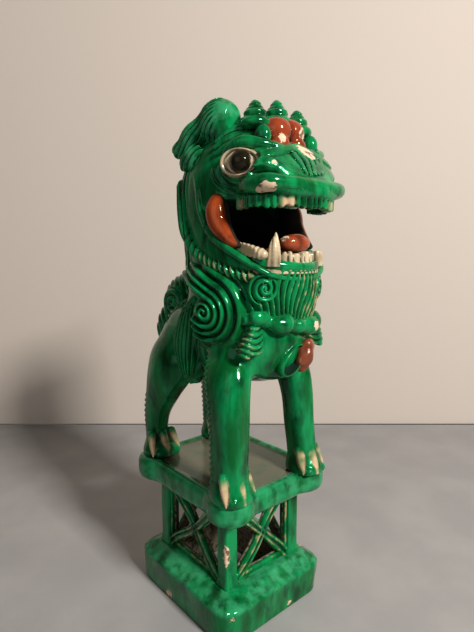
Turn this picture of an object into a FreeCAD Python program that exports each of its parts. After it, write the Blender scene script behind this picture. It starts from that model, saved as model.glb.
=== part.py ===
"""Glazed pottery guardian lion (foo dog) standing on a pierced pedestal.

Units are millimetres. +Z is up and the lion looks along -Y, so its right side is at -X.
The shapes are placed from the middle of the pedestal. The last step slides every one of them
along Y, so that the origin is on the standing surface under the middle of the whole figure.

The lion is built as a potter builds it: pressed shells and hand-made trims, each luted to
its neighbour with slip. Every piece here is one solid that meets the next face to face.
"""

import FreeCAD
import Part
from FreeCAD import Vector as V
import math
import os

# ---- driving dimensions -------------------------------------------------------------------
BASE_W, BASE_D = 86.0, 97.0          # the pedestal's foot, across its widest ridge
BASE_RIDGE_Z, BASE_TOP_Z = 20.0, 25.3
CORE_W, CORE_D = 62.0, 70.0          # outside of the four posts
POST = 8.5                           # a post's side
SLAB_W, SLAB_D = 87.0, 102.0         # the top slab, across its lobed corners
SLAB_Z0, SLAB_Z1 = 73.0, 87.4
WALL = 5.5                           # a pressed clay shell's thickness
FEET = {                             # where each leg stands, and its girth: it is hand-made
    "front_right": (-30.5, -41.0, 1.0),
    "front_left": (28.0, -42.0, 0.84),
    "rear_right": (-27.0, 41.5, 1.0),
    "rear_left": (23.0, 41.5, 1.0),
}
NECK_Z0, NECK_Z1 = 180.0, 208.0      # where the neck leaves the body, and meets the head
JAW_Y = -22.0                        # the cheeks' front edge, where the jaws begin
MOUTH_TOP_Z = 251.0                  # the palate
CROWN_Z = 297.0                      # the top of the skull, under its curls

OUT = "parts"


# ---- small makers -------------------------------------------------------------------------
def ellipsoid(centre, radii, pitch=0.0, yaw=0.0):
    """A solid ellipsoid, turned by pitch about X and then by yaw about Z."""
    grow = FreeCAD.Matrix()
    grow.scale(*radii)
    ball = Part.makeSphere(1.0).transformGeometry(grow)
    ball.rotate(V(0, 0, 0), V(1, 0, 0), pitch)
    ball.rotate(V(0, 0, 0), V(0, 0, 1), yaw)
    ball.translate(V(*centre))
    return ball


def oval_section(centre, axis, radii, squareness):
    """A smooth closed oval wire. squareness 2 is an ellipse, and more is boxier."""
    cx, cy, cz = centre
    ring = []
    count = 16
    for i in range(count):
        t = 2 * math.pi * i / count
        c, s = math.cos(t), math.sin(t)
        u = radii[0] * math.copysign(abs(c) ** (2 / squareness), c)
        w = radii[1] * math.copysign(abs(s) ** (2 / squareness), s)
        ring.append(V(cx + u, cy + w, cz) if axis == "z" else V(cx + u, cy, cz + w))
    curve = Part.BSplineCurve()
    curve.interpolate(ring, PeriodicFlag=True)
    return Part.Wire([curve.toShape()])


def loft_z(stations, squareness=2.0):
    """A limb or shell from stations (x, y, z, half width, half depth)."""
    wires = [oval_section((x, y, z), "z", (a, b), squareness) for x, y, z, a, b in stations]
    return Part.makeLoft(wires, True, False)


def loft_y(stations, squareness=2.0):
    """A trunk from stations (y, z, half width, half height), centred on x = 0."""
    wires = [oval_section((0, y, z), "y", (a, b), squareness) for y, z, a, b in stations]
    return Part.makeLoft(wires, True, False)


def rounded_plate(width, depth, radius, z0, z1):
    """An upright prism with a rounded rectangular plan, centred on the origin."""
    plate = Part.makeBox(width, depth, z1 - z0, V(-width / 2, -depth / 2, z0))
    upright = [e for e in plate.Edges if abs(e.tangentAt(e.FirstParameter).z) > 0.9]
    return plate.makeFillet(radius, upright)


def tube_along(points, radii):
    """A round bar along a line of points, made of balls joined by cones."""
    points = [V(*p) for p in points]
    bar = Part.makeSphere(radii[0], points[0])
    for start, end, r0, r1 in zip(points, points[1:], radii, radii[1:]):
        step = end - start
        if abs(r0 - r1) < 1e-6:
            link = Part.makeCylinder(r0, step.Length, start, step)
        else:
            link = Part.makeCone(r0, r1, step.Length, start, step)
        bar = bar.fuse([link, Part.makeSphere(r1, end)])
    return bar


def mirrored(shape):
    """The same piece on the lion's other side."""
    return shape.mirror(V(0, 0, 0), V(1, 0, 0))


def seated(shape, *neighbours):
    """shape, trimmed where its neighbours already are, with its largest solid kept."""
    for n in neighbours:
        shape = shape.cut(n)
    return max(shape.Solids, key=lambda s: s.Volume)


def prism_x(outline, x0, x1):
    """A prism across the lion from an outline of (y, z) points."""
    wire = Part.makePolygon([V(x0, y, z) for y, z in outline + outline[:1]])
    return Part.Face(wire).extrude(V(x1 - x0, 0, 0))


# ---- pedestal -----------------------------------------------------------------------------
def plinth_base():
    """The cushion-shaped foot: an open ring with a sloping shoulder."""
    foot = rounded_plate(BASE_W, BASE_D, 14, 0, BASE_RIDGE_Z)
    foot = foot.makeFillet(2.5, [e for e in foot.Edges if e.BoundBox.ZMax < 0.1])
    rims = []
    for w, d, r, z in [(BASE_W - 1, BASE_D - 1, 13.5, BASE_RIDGE_Z),
                       (CORE_W + 4, CORE_D + 4, 6, BASE_TOP_Z)]:
        rims.append(rounded_plate(w, d, r, z - 1, z).Faces)
    tops = [max(faces, key=lambda f: f.CenterOfMass.z).OuterWire for faces in rims]
    shoulder = Part.makeLoft(tops, True, True)
    hollow = rounded_plate(CORE_W - 2 * POST + 2, CORE_D - 2 * POST + 2, 5, -1, BASE_TOP_Z + 1)
    return foot.fuse(shoulder).cut(hollow)


def post(side_x, side_y):
    """One corner post, rounded on its outer edge."""
    x0 = side_x * CORE_W / 2 if side_x < 0 else CORE_W / 2 - POST
    y0 = side_y * CORE_D / 2 if side_y < 0 else CORE_D / 2 - POST
    bar = Part.makeBox(POST, POST, SLAB_Z0 - BASE_TOP_Z, V(x0, y0, BASE_TOP_Z))
    outer = [e for e in bar.Edges if e.Length > POST + 1 and
             math.hypot(e.CenterOfMass.x - side_x * CORE_W / 2,
                        e.CenterOfMass.y - side_y * CORE_D / 2) < 0.1]
    return bar.makeFillet(2.2, outer)


def lattice(width):
    """A pierced panel in the XZ plane with its outer face at y = 0: a saltire in a frame."""
    depth, bar, sill, stile = 5.5, 6.5, 3.5, 1.6
    plate = Part.makeBox(width, depth, SLAB_Z0 - BASE_TOP_Z, V(-width / 2, 0, BASE_TOP_Z))
    x1, z0, z1 = width / 2 - stile, BASE_TOP_Z + sill, SLAB_Z0 - sill
    mid = (z0 + z1) / 2
    slope = math.hypot(x1, (z1 - z0) / 2)
    along_x, along_z = bar / 2 * slope / ((z1 - z0) / 2), bar / 2 * slope / x1
    holes = [
        [(-x1, z0 + along_z), (-along_x, mid), (-x1, z1 - along_z)],
        [(x1, z0 + along_z), (along_x, mid), (x1, z1 - along_z)],
        [(-x1 + along_x, z0), (x1 - along_x, z0), (0, mid - along_z)],
        [(-x1 + along_x, z1), (x1 - along_x, z1), (0, mid + along_z)],
    ]
    for hole in holes:
        wire = Part.makePolygon([V(x, -1, z) for x, z in hole + hole[:1]])
        plate = plate.cut(Part.Face(wire).extrude(V(0, depth + 2, 0)))
    rib, proud = 1.3, 0.8
    tilt = math.degrees(math.atan2((z1 - z0) / 2, x1))
    for turn in (tilt, -tilt):
        for offset in (-1.7, 1.7):
            strip = Part.makeBox(2 * slope - 6, proud + 1, rib, V(3 - slope, -proud, offset - rib / 2))
            strip.rotate(V(0, 0, 0), V(0, 1, 0), turn)
            strip.translate(V(0, 0, mid))
            plate = plate.fuse(strip)
    return plate.removeSplitter()


def panels():
    """The four pierced panels between the posts."""
    inset = 1.2
    front = lattice(CORE_W - 2 * POST)
    front.translate(V(0, inset - CORE_D / 2, 0))
    rear = front.copy()
    rear.rotate(V(0, 0, 0), V(0, 0, 1), 180)
    right = lattice(CORE_D - 2 * POST)
    right.rotate(V(0, 0, 0), V(0, 0, 1), -90)
    right.translate(V(inset - CORE_W / 2, 0, 0))
    return {"lattice_front": front, "lattice_rear": rear,
            "lattice_right": right, "lattice_left": mirrored(right)}


def plinth_top():
    """The top slab: lobed corners under the paws, and a pocket below to thin it."""
    lobe, waist, height = 13.0, 3.5, SLAB_Z1 - SLAB_Z0
    slab = Part.makeBox(SLAB_W - 2 * waist, SLAB_D - 2 * waist, height,
                        V(waist - SLAB_W / 2, waist - SLAB_D / 2, SLAB_Z0))
    reach = lobe * 0.75
    for sx in (-1, 1):
        for sy in (-1, 1):
            x, y = sx * (SLAB_W / 2 - lobe), sy * (SLAB_D / 2 - lobe)
            x0 = x + sx * (lobe - reach) - (reach if sx < 0 else 0)
            y0 = y + sy * (lobe - reach) - (reach if sy < 0 else 0)
            corner = Part.makeBox(reach, reach, height, V(x0, y0, SLAB_Z0))
            lobe_disc = Part.makeCylinder(lobe, height, V(x, y, SLAB_Z0))
            slab = slab.cut(corner).fuse(lobe_disc)
    slab = slab.removeSplitter()
    slab = slab.makeFillet(2.5, [e for e in slab.Edges if e.BoundBox.ZLength < 0.01])
    pocket = rounded_plate(CORE_W - 2 * POST, CORE_D - 2 * POST, 5, SLAB_Z0 - 1, SLAB_Z1 - 7)
    return slab.cut(pocket)


# ---- body ---------------------------------------------------------------------------------
TRUNK = [  # y, z, half width, half height
    (-55, 174, 9, 8),
    (-51, 175, 21, 20),
    (-41, 177, 29, 27.5),
    (-22, 177, 32, 31),
    (0, 173, 30.5, 32),
    (20, 169, 28, 29.5),
    (36, 167, 25, 25.5),
    (47, 167, 18, 18),
    (53, 167, 8, 8),
]
NECK = [  # x, y, z, half width, half depth
    (0, -14, NECK_Z0, 28, 36),
    (0, -15, 194, 29.5, 38),
    (0, -16, NECK_Z1, 30, 38),
]
HEAD = [
    (0, -16, NECK_Z1, 30, 38),
    (0, -21, 215, 32, 43.5),
    (0, -20, 224, 33.5, 42),
    (0, -13, 240, 34, 34),
    (0, -11.5, 255, 34, 34.5),
    (0, -13, 270, 32, 35),
    (0, -17, 284, 27.5, 31),
    (0, -20, 292, 20, 23),
    (0, -21, CROWN_Z, 10, 11),
]
MUZZLE = [  # y, z, half width, half height
    (-28, 265, 28, 15),
    (-44, 266, 30.5, 17),
    (-56, 265, 29.5, 16),
    (-66, 260, 27.5, 11),
    (-73, 256, 23, 6.5),
    (-75, 255, 12, 3.5),
]
FRONT_LEG = [  # x outwards and y from the foot's middle, z, half width, half depth
    (0, 0, SLAB_Z1, 11.3, 12),
    (0, 1, 100, 10.8, 12),
    (-0.5, 1.5, 120, 10.8, 12),
    (-1, 3, 140, 11.2, 12.5),
    (-3, 8, 160, 12, 15),
    (-8, 14, 176, 10, 13),
]
REAR_LEG = [
    (0, 0, SLAB_Z1, 9, 10),
    (0, 3.5, 98, 7.8, 8.5),
    (0, 3, 112, 8, 9),
    (-1, -3, 128, 10, 14),
    (-3, -10, 145, 12.5, 20),
    (-5, -12, 160, 12, 19),
    (-10, -12, 172, 8, 13),
]
MOUTH = [  # y, z: the open mouth from the side, from the lip back to the cheek and down
    (-110, MOUTH_TOP_Z),
    (-25, MOUTH_TOP_Z + 1),
    (-23, 244),
    (-29, 233),
    (-42, 224),
    (-56, 219.5),
    (-68, 217),
    (-110, 215),
]


def thinner(stations, wall=WALL):
    """Stations of the hollow inside a shell."""
    return [s[:-2] + (s[-2] - wall, s[-1] - wall) for s in stations]


def mouth_void():
    """The open mouth, right through from cheek to cheek."""
    return prism_x(MOUTH, -60, 60)


def throat():
    """The hollow from the body up through the neck to the back of the mouth."""
    low = (0, -14, 170, 20, 28)
    high = (0, -14, 238, 26, 28)
    return loft_z([low] + thinner(NECK) + [high])


def torso():
    """The hollow body, open at the top into the neck."""
    return seated(loft_y(TRUNK), loft_y(thinner(TRUNK[1:-1])), throat())


def neck():
    return seated(loft_z(NECK), loft_y(TRUNK), throat())


def jaw_block():
    """The space of the lower jaw: in front of the cheeks and under the palate."""
    return Part.makeBox(120, 90, MOUTH_TOP_Z - NECK_Z1, V(-60, JAW_Y - 90, NECK_Z1))


def head_shell():
    """The hollow skull with its cheeks. A vent joins its hollow to the mouth for firing."""
    brain = loft_z(thinner(HEAD[4:8]))
    brain.translate(V(0, 0, 4))
    vent = Part.makeCylinder(4, 60, V(0, -14, 220))
    return seated(loft_z(HEAD), brain, vent, throat(), mouth_void(), jaw_block())


def upper_jaw():
    """The muzzle, with a flat palate."""
    below = Part.makeBox(120, 120, 40, V(-60, -110, MOUTH_TOP_Z - 40))
    vault = ellipsoid((0, -48, MOUTH_TOP_Z - 2), (19, 20, 9))
    return seated(loft_y(MUZZLE), below, vault, loft_z(HEAD))


def lower_jaw():
    """The lower jaw: an open bowl, its rim rising to the cheeks."""
    bowl = loft_z(HEAD).common(jaw_block())
    return seated(bowl, throat(), ellipsoid((0, -34, 226), (25, 24, 16)), mouth_void())


def leg(foot, stations):
    """A leg from the slab up into the body."""
    x, y, girth = FEET[foot]
    out = math.copysign(1, x)
    return loft_z([(x + out * dx, y + dy, z, a * girth, b * girth) for dx, dy, z, a, b in stations])


def paw(foot):
    """A paw with three blunt claws, flat on the slab."""
    x, y, girth = FEET[foot]
    pad = ellipsoid((x, y - 1, SLAB_Z1 + 1), (12.5 * girth, 12, 9))
    for toe in (-1, 0, 1):
        root = (x + 7 * girth * toe, y - 8 + abs(toe), SLAB_Z1 + 5)
        tip = (x + 8 * girth * toe, y - 12.5 + 2 * abs(toe), SLAB_Z1 + 2)
        pad = pad.fuse(tube_along([root, tip], [3.2, 1.6]))
    below = Part.makeBox(80, 80, 30, V(x - 40, y - 40, SLAB_Z1 - 30))
    return seated(pad, below)


def torso_trims(trunk, throat_side, limbs):
    """The lion's right-hand trims of the body."""
    body = [trunk, throat_side]
    scroll = seated(ellipsoid((-28, -22, 196), (9.5, 26, 26), yaw=8), *body, *limbs)
    hair = seated(ellipsoid((-26.5, 8, 174), (8.5, 17, 29), pitch=-10), *body, *limbs, scroll)
    tassel_bar = tube_along([(-25, -49, 182), (-24, -50, 176), (-25, -48, 170)], [5, 4.5, 4])
    tassel = seated(tassel_bar, *body, *limbs, scroll)
    return scroll, hair, tassel


def tail(trunk, limbs):
    """The tail, standing up against the rump with a volute on each side."""
    stem = ellipsoid((0, 54, 172), (15, 13, 22), pitch=12)
    tuft = ellipsoid((0, 42, 195), (14, 14, 16), pitch=25)
    volutes = Part.makeCylinder(9.5, 32, V(-16, 44, 189), V(1, 0, 0))
    return seated(stem.fuse([tuft, volutes]), trunk, *limbs)


# ---- head trims ---------------------------------------------------------------------------
def ring_arc(outer, inner, centre_y, z0, z1, y_max, squareness=2.0):
    """An upright horseshoe wall, open at the back, such as a row of teeth."""
    walls = []
    for a, b in (outer, inner):
        stations = [(0, centre_y, z, a, b) for z in (z0, z1)]
        walls.append(loft_z(stations, squareness))
    behind = Part.makeBox(120, 120, 60, V(-60, y_max, z0 - 10))
    return walls[0].cut(walls[1]).cut(behind)


def eye(face):
    """A socket ring and the ball in it, on the lion's right."""
    centre, yaw = V(-28, -45, 269.5), -58
    ring = ellipsoid(centre, (10.5, 5.5, 7), yaw=yaw)
    facing = V(math.sin(math.radians(yaw)), -math.cos(math.radians(yaw)), 0)
    ball = ellipsoid(centre + facing * 2.2, (5.4, 5.2, 5.5), yaw=yaw)
    return seated(ring, ball, *face), seated(ball, *face)


def knob(x, y, z, radius, height):
    """A coiled curl: a blunt cone."""
    cone = Part.makeCone(radius, 2, height, V(x, y, z))
    return cone.fuse(Part.makeSphere(2, V(x, y, z + height)))


def head_trims(nodes):
    """The lion's right-hand trims of the head, and the ones on its centre line."""
    head, muzzle = loft_z(HEAD), nodes["upper_jaw"]
    face = [head, muzzle]
    lip = ring_arc((34.5, 37.5), (26, 29), -40, MOUTH_TOP_Z - 0.4, MOUTH_TOP_Z + 5.6, -43, 2.8)
    nodes["upper_lip"] = seated(lip, *face)
    teeth = ring_arc((30, 34), (26, 30), -40, MOUTH_TOP_Z - 6, MOUTH_TOP_Z, -42, 2.8)
    nodes["upper_teeth"] = seated(teeth, *face, nodes["upper_lip"])
    crest = seated(ellipsoid((0, -37, 294), (22, 10, 8)), *face)
    nodes["crest"] = crest
    nodes["nose"] = seated(ellipsoid((0, -47, 287), (11, 10.5, 9)), *face, crest)
    for name, x, y, z in (("knob_right", -15.5, -43, 292), ("knob_middle", 0.5, -43, 296.5),
                          ("knob_left", 16.5, -43.5, 292.5)):
        nodes[name] = seated(knob(x, y, z, 7.5, 7.5), *face, crest, nodes["nose"])
    brow = seated(ellipsoid((-18.5, -37, 284.5), (8.5, 15.5, 9), pitch=25), *face, crest, nodes["nose"])
    socket, ball = eye(face)
    ear = ellipsoid((-22, -15, 296), (9, 11.5, 12)).fuse(
        ellipsoid((-27, 1, 287), (6.5, 14, 7.5), pitch=-38))
    ear = seated(ear, *face, crest, brow)
    ruff_line = [(-26, 9, 262), (-30, 4, 247), (-32, -2, 234), (-32.5, -15, 222),
                 (-31, -34, 215), (-26, -49, 211)]
    jaw = [nodes["lower_jaw"], nodes["neck"], nodes["torso"], nodes["shoulder_scroll_right"]]
    curl = Part.makeCylinder(8.3, 12, V(-17.5, -47.5, 204.5), V(-0.45, -0.9, 0))
    curl = seated(curl, *face, *jaw)
    ruff = seated(tube_along(ruff_line, [4.5] * len(ruff_line)), *face, *jaw, curl)
    lining = prism_x([(-25, 251), (-23, 244), (-29, 233), (-42, 224), (-46, 229), (-37, 239),
                      (-33, 251)], -32, -27)
    lining = seated(lining, nodes["head_shell"], nodes["lower_jaw"], muzzle)
    return {"brow": brow, "eye_socket": socket, "eyeball": ball, "ear": ear,
            "mane_ruff": ruff, "mane_curl": curl, "cheek_lining": lining}


def mouth_trims(nodes):
    """The tongue, the lower teeth and the right-hand fang."""
    jaw = nodes["lower_jaw"]
    tongue = seated(ellipsoid((0, -51, 225), (11, 11, 6), pitch=-35), jaw)
    nodes["tongue"] = tongue
    teeth = ring_arc((22, 25), (18, 21), -38, 213, 222.5, -42)
    nodes["lower_teeth"] = seated(teeth, jaw, tongue)
    fang = Part.makeCone(4, 1, 16, V(-15, -57, 219))
    return {"fang": seated(fang, jaw, tongue, nodes["lower_teeth"])}


def chest_trims(nodes):
    """Collar, beard and bell, on the centre line."""
    body = [loft_y(TRUNK), loft_z(NECK), loft_z(HEAD)]
    band = ring_arc((29, 34.5), (18, 20), -29, NECK_Z0 - 1.5, NECK_Z0 + 8, -46, 2.3)
    nodes["collar"] = seated(band, *body, nodes["tassel_right"], nodes["tassel_left"])
    beard = loft_z([(0, -40, 184, 24, 17), (0, -42, 196, 25, 18.5), (0, -42, 211, 22, 20)], 2.6)
    behind = Part.makeBox(120, 60, 80, V(-60, -41, 160))
    curls = [nodes["mane_curl_right"], nodes["mane_curl_left"]]
    nodes["beard"] = seated(beard, behind, *body, nodes["collar"], *curls)
    bell = ellipsoid((0, -54, 163), (8.5, 6.5, 10))
    nodes["bell"] = seated(bell, *body, nodes["collar"])
    drop = ellipsoid((2.5, -59.5, 163), (4.5, 4.5, 10.5))
    nodes["bell_drop"] = seated(drop, *body, nodes["collar"], nodes["bell"])


# ---- the whole figure ---------------------------------------------------------------------
def pair(nodes, name, right_piece):
    """Adds a piece and its mirror image on the lion's left."""
    nodes[name + "_right"] = right_piece
    nodes[name + "_left"] = mirrored(right_piece)


def build():
    nodes = {"plinth_base": plinth_base(), "plinth_top": plinth_top(), **panels()}
    pair(nodes, "post_front", post(-1, -1))
    pair(nodes, "post_rear", post(-1, 1))
    nodes.update(torso=torso(), neck=neck(), head_shell=head_shell(),
                 upper_jaw=upper_jaw(), lower_jaw=lower_jaw())
    trunk = loft_y(TRUNK)
    limbs = []
    for foot in FEET:
        limb, pad = leg(foot, FRONT_LEG if "front" in foot else REAR_LEG), paw(foot)
        limbs.append(limb)
        nodes["paw_" + foot] = pad
        nodes["leg_" + foot] = seated(limb, trunk, pad)
    scroll, hair, tassel = torso_trims(trunk, loft_z(NECK), limbs)
    pair(nodes, "shoulder_scroll", scroll)
    pair(nodes, "flank_hair", hair)
    pair(nodes, "tassel", tassel)
    nodes["tail"] = tail(trunk, limbs)
    for name, piece in head_trims(nodes).items():
        pair(nodes, name, piece)
    for name, piece in mouth_trims(nodes).items():
        pair(nodes, name, piece)
    chest_trims(nodes)
    nape = ellipsoid((0, 24, 219), (8, 9, 10))
    nodes["nape_curl"] = seated(nape, nodes["neck"], loft_z(NECK), loft_z(HEAD), trunk)
    return nodes


def main():
    os.makedirs(OUT, exist_ok=True)
    nodes = build()
    span = Part.makeCompound(list(nodes.values())).optimalBoundingBox(False)
    to_middle = V(0, -(span.YMin + span.YMax) / 2, 0)
    for name, shape in nodes.items():
        shape.translate(to_middle)
        good = shape.isValid() and len(shape.Solids) == 1
        print(f"{name:24s} {'ok ' if good else 'BAD'} {shape.Volume / 1000:8.2f} cm3")
        shape.exportStep(os.path.join(OUT, name + ".step"))
    print("nodes", len(nodes), "shift", round(to_middle.y, 3), "size", span.XLength, span.YLength, span.ZMax)


main()
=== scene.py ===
"""Looks for a green-glazed pottery guardian lion on a pierced pedestal.

Each clay piece is sculpted as a distance field and meshed round the CAD node that it stands
for. Fields are in millimetres from the middle of the pedestal's foot: +Z up, the lion facing
-Y, its right side at -X. A field is negative inside the clay.
"""
import math

import bpy
import numpy as np
import openvdb
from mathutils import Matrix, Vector


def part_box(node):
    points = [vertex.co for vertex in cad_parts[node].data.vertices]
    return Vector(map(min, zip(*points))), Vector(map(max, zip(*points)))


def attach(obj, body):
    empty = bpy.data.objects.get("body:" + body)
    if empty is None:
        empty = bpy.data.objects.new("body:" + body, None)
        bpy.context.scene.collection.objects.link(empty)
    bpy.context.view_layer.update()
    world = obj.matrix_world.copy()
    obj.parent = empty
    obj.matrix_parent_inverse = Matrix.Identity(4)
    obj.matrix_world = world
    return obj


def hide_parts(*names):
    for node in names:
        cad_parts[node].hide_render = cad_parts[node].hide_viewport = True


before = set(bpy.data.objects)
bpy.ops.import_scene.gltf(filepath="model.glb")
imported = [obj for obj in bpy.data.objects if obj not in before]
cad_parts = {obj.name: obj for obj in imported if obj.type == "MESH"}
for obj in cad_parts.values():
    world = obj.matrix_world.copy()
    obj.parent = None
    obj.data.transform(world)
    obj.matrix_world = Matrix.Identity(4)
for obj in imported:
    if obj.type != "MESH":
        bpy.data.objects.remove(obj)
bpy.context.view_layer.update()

MM = 0.001
VOXEL = 0.55
FAR = 6.0                            # a field's value where a strand is nowhere near
SLIP = 0.12                          # how far a fillet of slip lies under its neighbour's face
BITE = 0.8                           # how deep a piece reaches into its neighbour
CRUMB = 0.12                         # loose parts under this share of the largest are dropped
GROOVE, VALLEY = 1.5, 2.6            # reach of the smoothing that finds grooves and valleys

slab_low, slab_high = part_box("plinth_top")
PLINTH_Y = (slab_low[1] + slab_high[1]) / 2 / MM
SLAB_Z = slab_high[2] / MM


# ---- fields ----
def smin(a, b, k):
    """The lesser of two distances, rounded over k where they meet."""
    h = np.clip(0.5 + 0.5 * (b - a) / k, 0, 1)
    return b + (a - b) * h - k * h * (1 - h)


def smax(a, b, k):
    return -smin(-a, -b, k)


def turned(p, centre, pitch=0.0, yaw=0.0):
    """Points from centre, in axes that were pitched about X and then yawed about Z."""
    x, y, z = (axis - c for axis, c in zip(p, centre))
    c, s = math.cos(math.radians(yaw)), math.sin(math.radians(yaw))
    x, y = c * x + s * y, c * y - s * x
    c, s = math.cos(math.radians(pitch)), math.sin(math.radians(pitch))
    return x, c * y + s * z, c * z - s * y


def egg(p, centre, radii, pitch=0.0, yaw=0.0):
    """An ellipsoid."""
    x, y, z = turned(p, centre, pitch, yaw)
    a, b, c = radii
    k = np.sqrt((x / a) ** 2 + (y / b) ** 2 + (z / c) ** 2) + 1e-6
    slope = np.sqrt((x / a ** 2) ** 2 + (y / b ** 2) ** 2 + (z / c ** 2) ** 2) + 1e-6
    return k * (k - 1) / slope


def through(t, knots, values):
    """A smooth curve through values at knots."""
    knots, values = np.array(knots, float), np.array(values, float)
    slopes = np.gradient(values, knots)
    t = np.clip(t, knots[0], knots[-1])
    i = np.clip(np.searchsorted(knots, t) - 1, 0, len(knots) - 2)
    span = knots[i + 1] - knots[i]
    f = (t - knots[i]) / span
    return (values[i] * (1 + 2 * f) * (1 - f) ** 2 + values[i + 1] * f * f * (3 - 2 * f)
            + span * (slopes[i] * f * (1 - f) ** 2 - slopes[i + 1] * f * f * (1 - f)))


def oval(u, w, a, b, power):
    """Distance to a rounded oval, squarer with a higher power."""
    a, b = np.maximum(a, 0.5), np.maximum(b, 0.5)
    k = ((np.abs(u) / a) ** power + (np.abs(w) / b) ** power) ** (1 / power)
    k = np.maximum(k, 0.15)
    return np.hypot(u, w) * (1 - 1 / k) - np.minimum(a, b) * np.maximum(0.3 - k, 0)


def loft_z(p, stations, power=2.0, edge=2.0):
    """A form from stations (x, y, z, half width, half depth)."""
    sx, sy, sz, sa, sb = zip(*stations)
    x0, y0, a, b = (through(p[2], sz, s) for s in (sx, sy, sa, sb))
    side = oval(p[0] - x0, p[1] - y0, a, b, power)
    return smax(side, np.maximum(p[2] - sz[-1], sz[0] - p[2]), edge)


def loft_y(p, stations, power=2.0, edge=2.0):
    """A form from stations (y, z, half width, half height), centred on x = 0."""
    sy, sz, sa, sb = zip(*stations)
    z0, a, b = (through(p[1], sy, s) for s in (sz, sa, sb))
    side = oval(p[0], p[2] - z0, a, b, power)
    return smax(side, np.maximum(p[1] - sy[-1], sy[0] - p[1]), edge)


def near(p, low, high):
    """The part of a grid that covers a box. Loose points are all taken."""
    if p[0].ndim != 3:
        return ...
    return tuple(slice(*np.searchsorted(axis.ravel(), (lo, hi)))
                 for axis, lo, hi in zip(p, low, high))


def strand(p, points, radii, steps=5):
    """A round strand through points, and how far along it each sample lies."""
    knots = np.arange(len(points))
    fine = np.linspace(0, len(points) - 1, steps * (len(points) - 1) + 1)
    line = np.stack([through(fine, knots, c) for c in zip(*points)], 1)
    girth = through(fine, knots, radii)
    shape = np.broadcast_shapes(*(axis.shape for axis in p))
    best, place = np.full(shape, FAR, np.float32), np.zeros(shape, np.float32)
    pad = max(radii) + FAR
    box = near(p, line.min(0) - pad, line.max(0) + pad)
    if p[0].ndim == 3:
        q = (p[0][box[0]], p[1][:, box[1]], p[2][:, :, box[2]])
    else:
        q = p
    found, where = best[box], place[box]
    done = 0.0
    for a, b, ra, rb in zip(line, line[1:], girth, girth[1:]):
        run = b - a
        length = float(np.linalg.norm(run))
        away = [axis - c for axis, c in zip(q, a)]
        t = np.clip(sum(w * r for w, r in zip(away, run)) / length ** 2, 0, 1)
        gap = np.sqrt(sum((w - t * r) ** 2 for w, r in zip(away, run))) - ra - (rb - ra) * t
        closer = gap < found
        found = np.where(closer, gap, found)
        where = np.where(closer, done + t * length, where)
        done += length
    best[box], place[box] = found, where
    return best, place


def outline(u, w, points):
    """Distance to a closed outline in a plane."""
    best, within = np.float32(1e6), False
    for (ax, ay), (bx, by) in zip(points, points[1:] + points[:1]):
        ex, ey = bx - ax, by - ay
        t = np.clip(((u - ax) * ex + (w - ay) * ey) / (ex * ex + ey * ey), 0, 1)
        best = np.minimum(best, np.hypot(u - ax - t * ex, w - ay - t * ey))
        if ey != 0:
            crosses = ((ay > w) != (by > w)) & (u < ex * (w - ay) / ey + ax)
            within = within ^ crosses
    return np.where(within, -best, best)


def luted(own, other, k=2.5):
    """own with a soft fillet of slip against other, trimmed just under other's face."""
    keep = -(other + BITE)
    fillet = np.maximum(smin(own, other, k) + SLIP, own - 0.8 * k)
    return np.maximum(np.minimum(own, fillet), keep)


def uneven(p, scale, seed):
    """The slow unevenness of hand-worked clay, from -1 to 1."""
    x, y, z = (axis / scale for axis in p)
    return (np.sin(1.7 * x + seed + 1.3 * np.sin(1.1 * y + 2 * seed))
            + np.sin(1.9 * y + 2.1 * seed + 1.2 * np.sin(1.3 * z + seed))
            + np.sin(1.6 * z + 0.7 * seed + 1.1 * np.sin(1.2 * x + 3 * seed))) / 3


def ridges(phase):
    """Rounded ridges with narrow grooves between them, from -1 in a groove to 1."""
    return 1 - 2 * np.abs(np.sin(phase / 2)) ** 3


def coil(u, w, pitch, wind=1):
    """The phase of a spiral's ridges in a plane, and the distance from its middle."""
    r = np.hypot(u, w)
    return 2 * np.pi * r / pitch - wind * np.arctan2(w, u), r


def facing(p, centre, normal):
    """Points from centre as (across, up, out) on a face with a level normal."""
    nx, ny = normal[0] / math.hypot(*normal[:2]), normal[1] / math.hypot(*normal[:2])
    x, y, z = (axis - c for axis, c in zip(p, centre))
    return nx * y - ny * x, z, nx * x + ny * y


# ---- meshes ----
def box_mm(node):
    """The corners of a CAD node, in millimetres from the pedestal's middle."""
    return [np.array(corner) / MM - (0, PLINTH_Y, 0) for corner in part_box(node)]


def grid_round(node, margin, voxel):
    """Sample points, as three open axes, round a CAD node."""
    return np.ix_(*[np.arange(lo - m, hi + m + voxel, voxel, dtype=np.float32)
                    for lo, hi, m in zip(*box_mm(node), np.broadcast_to(margin, 3))])


def skin(field, p, voxel):
    """Vertices and quads where field is zero."""
    values = np.broadcast_to(field, np.broadcast_shapes(*(a.shape for a in p)))
    reach = 3 * voxel
    values = np.clip(values, -reach, reach).astype(np.float32)
    for axis in range(3):
        ends = [slice(None)] * 3
        for end in (0, -1):
            ends[axis] = end
            values[tuple(ends)] = reach
    volume = openvdb.FloatGrid(reach)
    volume.copyFromArray(values)
    verts, quads = volume.convertToQuads(isovalue=0.0)
    start = np.array([axis.flat[0] for axis in p])
    return verts * voxel + start, quads.astype(np.int64)


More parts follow.
